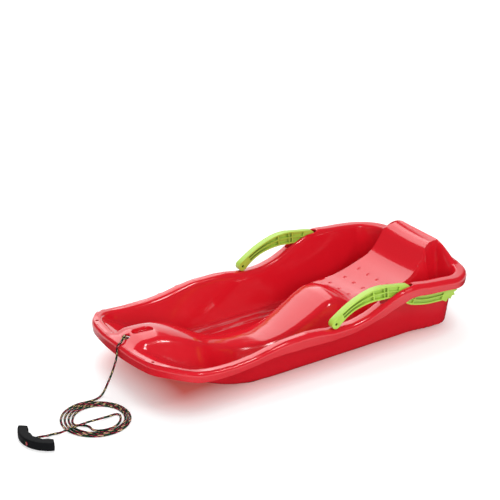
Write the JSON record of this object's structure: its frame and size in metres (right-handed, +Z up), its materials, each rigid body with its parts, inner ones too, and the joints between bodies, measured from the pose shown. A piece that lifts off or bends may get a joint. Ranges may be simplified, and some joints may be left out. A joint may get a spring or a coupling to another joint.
{
  "type": "plastic bob sled",
  "caption": "Red moulded plastic bob sled with a seat, a centre spine and foot wells, hinged lime green brake levers at its sides, and a coiled braided tow rope with a black handle.",
  "frame": {"origin": "On the ground under the middle of the sled", "axes": "+Z up, +Y towards the backrest, +X to the rider's left"},
  "size_m": [0.424, 1.1732, 0.181],
  "materials": {
    "hull_red": "gloss",
    "brake_lime": "satin",
    "pin_steel": "satin",
    "rope_braid": "braided",
    "handle_black": "satin"
  },
  "bodies": {
    "sled": {"hull": "hull_red", "pivot_pin_left": "pin_steel", "pivot_pin_right": "pin_steel", "tow_rope_deck_knot": "rope_braid", "tow_rope_lead": "rope_braid", "tow_rope_coil": "rope_braid", "tow_rope_tail": "rope_braid", "tow_rope_handle_knot": "rope_braid", "tow_handle": "handle_black"},
    "lever_left": {"brake_lever_left": "brake_lime"},
    "lever_right": {"brake_lever_right": "brake_lime"}
  },
  "joints": [
    {"name": "brake_left", "type": "hinge", "parent": "sled", "child": "lever_left", "pos_m": [0.1895, 0.2225, 0.14], "axis": [-1, 0, 0], "range_deg": [0, 50]},
    {"name": "brake_right", "type": "hinge", "parent": "sled", "child": "lever_right", "pos_m": [-0.1895, 0.2225, 0.14], "axis": [-1, 0, 0], "range_deg": [0, 50]}
  ]
}
